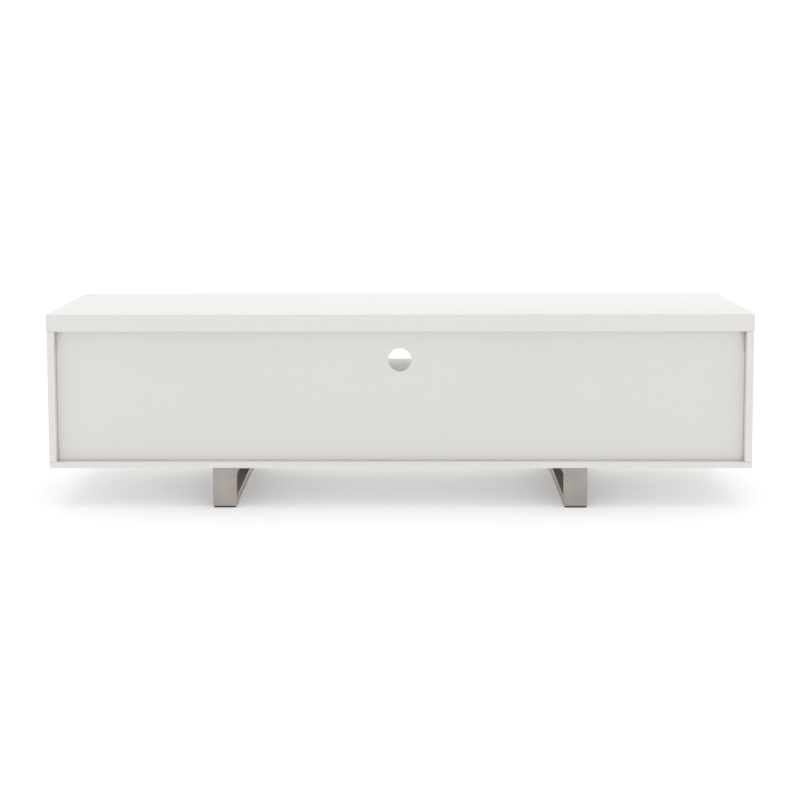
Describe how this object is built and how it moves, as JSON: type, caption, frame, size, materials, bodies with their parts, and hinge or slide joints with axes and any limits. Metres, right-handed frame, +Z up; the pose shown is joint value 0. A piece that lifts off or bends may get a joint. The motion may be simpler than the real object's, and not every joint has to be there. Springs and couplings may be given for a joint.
{
  "type": "tv stand with doors",
  "caption": "Low white lacquered media cabinet on brushed steel sled legs, with inset cupboard doors, a drop-down flap and a cable hole in its recessed back.",
  "frame": {"origin": "on the floor, under the middle of the stand", "axes": "+X to the right as seen from in front of the doors, +Y to the back, +Z up"},
  "size_m": [1.8, 0.45, 0.5],
  "materials": {
    "lacquer": "matt warm white lacquer on board",
    "brushed_steel": "brushed stainless steel",
    "zinc_steel": "zinc plated steel",
    "aluminium": "brushed anodised aluminium",
    "nylon": "moulded nylon",
    "catch_plastic": "moulded plastic housing with a magnet",
    "glide_felt": "dark felt on rubber"
  },
  "bodies": {
    "cabinet": {"top_slab": "lacquer", "bottom_panel": "lacquer", "back_panel": "lacquer", "left_side_panel": "lacquer", "right_side_panel": "lacquer", "left_divider": "lacquer", "right_divider": "lacquer", "media_shelf": "lacquer", "left_cupboard_shelf": "lacquer", "right_cupboard_shelf": "lacquer", "left_leg_frame": "brushed_steel", "left_front_glide": "glide_felt", "left_rear_glide": "glide_felt", "left_leg_screw_1": "zinc_steel", "left_leg_screw_2": "zinc_steel", "left_leg_screw_3": "zinc_steel", "left_leg_screw_4": "zinc_steel", "left_shelf_pin_front_outer": "zinc_steel", "left_shelf_pin_front_inner": "zinc_steel", "left_shelf_pin_rear_outer": "zinc_steel", "left_shelf_pin_rear_inner": "zinc_steel", "left_door_bottom_bush": "nylon", "left_door_top_bush": "nylon", "left_door_catch": "catch_plastic", "left_grip_channel": "aluminium", "flap_left_bush": "nylon", "left_stay_guide": "zinc_steel", "right_leg_frame": "brushed_steel", "right_front_glide": "glide_felt", "right_rear_glide": "glide_felt", "right_leg_screw_1": "zinc_steel", "right_leg_screw_2": "zinc_steel", "right_leg_screw_3": "zinc_steel", "right_leg_screw_4": "zinc_steel", "right_shelf_pin_front_outer": "zinc_steel", "right_shelf_pin_front_inner": "zinc_steel", "right_shelf_pin_rear_outer": "zinc_steel", "right_shelf_pin_rear_inner": "zinc_steel", "right_door_bottom_bush": "nylon", "right_door_top_bush": "nylon", "right_door_catch": "catch_plastic", "right_grip_channel": "aluminium", "flap_right_bush": "nylon", "right_stay_guide": "zinc_steel", "flap_catch": "catch_plastic", "flap_grip_channel": "aluminium"},
    "left_door": {"left_door": "lacquer", "left_door_bottom_pin": "zinc_steel", "left_door_top_pin": "zinc_steel", "left_door_strike": "zinc_steel"},
    "right_door": {"right_door": "lacquer", "right_door_bottom_pin": "zinc_steel", "right_door_top_pin": "zinc_steel", "right_door_strike": "zinc_steel"},
    "flap": {"flap_left_pin": "zinc_steel", "left_stay": "zinc_steel", "flap_right_pin": "zinc_steel", "right_stay": "zinc_steel", "flap": "lacquer", "flap_strike": "zinc_steel"}
  },
  "joints": [
    {"name": "left_door_hinge", "type": "hinge", "parent": "cabinet", "child": "left_door", "pos_m": [-0.86596, -0.214, 0.2875], "axis": [0, 0, -1], "range_deg": [0, 105]},
    {"name": "right_door_hinge", "type": "hinge", "parent": "cabinet", "child": "right_door", "pos_m": [0.86596, -0.214, 0.2875], "axis": [0, 0, 1], "range_deg": [0, 105]},
    {"name": "flap_hinge", "type": "hinge", "parent": "cabinet", "child": "flap", "pos_m": [0, -0.214, 0.142], "axis": [1, 0, 0], "range_deg": [0, 90]}
  ]
}
